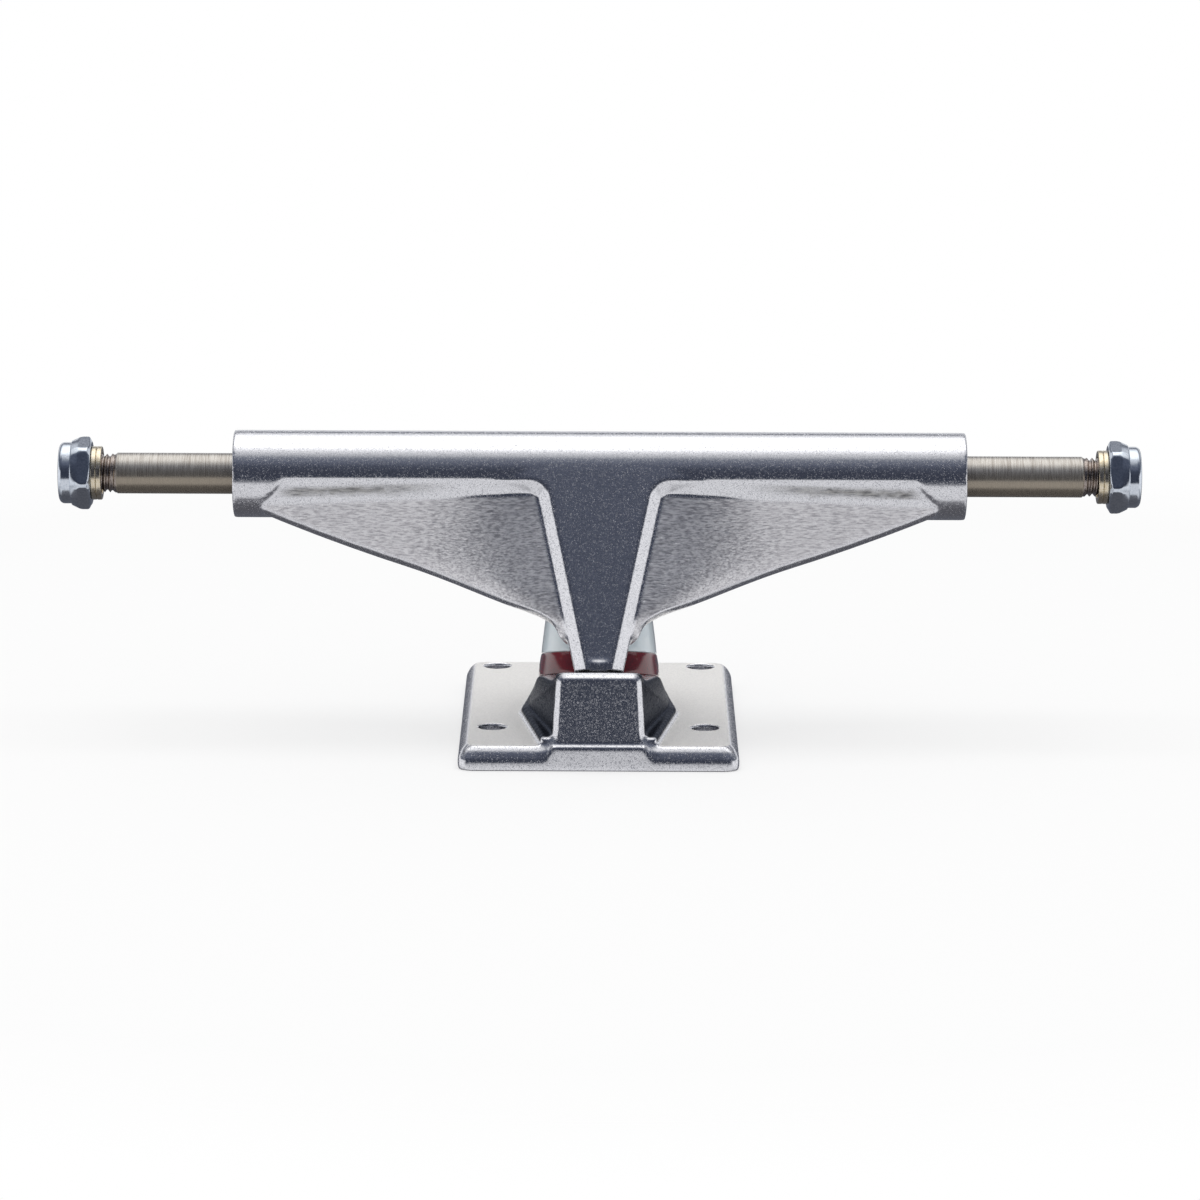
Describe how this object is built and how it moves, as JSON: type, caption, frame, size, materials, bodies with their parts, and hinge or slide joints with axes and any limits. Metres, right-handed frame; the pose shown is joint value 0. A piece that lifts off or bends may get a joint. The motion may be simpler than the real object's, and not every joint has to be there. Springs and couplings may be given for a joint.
{
  "type": "skateboard truck",
  "caption": "Skateboard truck: a winged hanger carries the axle and steers on a kingpin, bushings and pivot cup above a bolted base plate.",
  "frame": {"origin": "centre of the bolt pattern on the deck face", "axes": "+X along the axle, +Y from the pivot cup towards the kingpin, +Z away from the deck"},
  "size_m": [0.21, 0.0768, 0.0605],
  "materials": {
    "polished_aluminium": "polished casting",
    "cup_urethane": "moulded urethane",
    "black_steel": "blackened steel",
    "zinc_plate": "bright zinc plate",
    "yellow_zinc": "yellow zinc plate",
    "axle_steel": "ground steel, lightly oiled",
    "red_urethane": "glossy cast urethane",
    "pale_urethane": "glossy cast urethane",
    "nylon": "nylon"
  },
  "bodies": {
    "base": {"baseplate": "polished_aluminium", "pivot_cup": "cup_urethane", "kingpin": "black_steel", "lower_washer": "zinc_plate", "lower_bushing": "red_urethane", "lower_bushing_cap": "pale_urethane", "upper_bushing": "red_urethane"},
    "hanger_body": {"hanger": "polished_aluminium", "axle": "axle_steel"},
    "king_washer": {"upper_cup_washer": "zinc_plate"},
    "king_nut": {"kingpin_nut": "zinc_plate", "kingpin_nut_insert": "nylon"},
    "left_washers": {"left_inner_speed_washer": "yellow_zinc", "left_outer_speed_washer": "yellow_zinc"},
    "left_nut": {"left_axle_nut": "zinc_plate", "left_axle_nut_insert": "nylon"},
    "right_washers": {"right_inner_speed_washer": "yellow_zinc", "right_outer_speed_washer": "yellow_zinc"},
    "right_nut": {"right_axle_nut": "zinc_plate", "right_axle_nut_insert": "nylon"}
  },
  "joints": [
    {"name": "hanger_steer", "type": "hinge", "parent": "base", "child": "hanger_body", "pos_m": [0, 0.00125, 0.02797], "axis": [0, 0.9105, 0.4136], "range_deg": [-14, 14], "stiffness_Nm_per_rad": 14, "deforming": ["lower_bushing", "lower_bushing_cap", "upper_bushing"]},
    {"name": "king_nut_travel", "type": "slide", "parent": "base", "child": "king_washer", "axis": [0, 0.2756, 0.9613], "range_m": [0, 0.0084]},
    {"name": "king_nut_turn", "type": "hinge", "parent": "king_washer", "child": "king_nut", "pos_m": [0, 0.00649, 0.04623], "axis": [0, 0.2756, 0.9613], "range_deg": [0, 2880]},
    {"name": "left_nut_travel", "type": "slide", "parent": "hanger_body", "child": "left_washers", "axis": [-1, 0, 0], "range_m": [-0.0044, 0.0338]},
    {"name": "left_nut_turn", "type": "hinge", "parent": "left_washers", "child": "left_nut", "pos_m": [-0.1008, -0.0143, 0.052], "axis": [-1, 0, 0], "range_deg": [-1500, 11520]},
    {"name": "right_nut_travel", "type": "slide", "parent": "hanger_body", "child": "right_washers", "axis": [1, 0, 0], "range_m": [-0.0044, 0.0338]},
    {"name": "right_nut_turn", "type": "hinge", "parent": "right_washers", "child": "right_nut", "pos_m": [0.1008, -0.0143, 0.052], "axis": [1, 0, 0], "range_deg": [-1500, 11520]}
  ],
  "couplings": [
    {"joint": "king_nut_turn", "follows": "king_nut_travel", "rad_per_m": 5937.1},
    {"joint": "left_nut_turn", "follows": "left_nut_travel", "rad_per_m": 5937.1},
    {"joint": "right_nut_turn", "follows": "right_nut_travel", "rad_per_m": 5937.1}
  ]
}
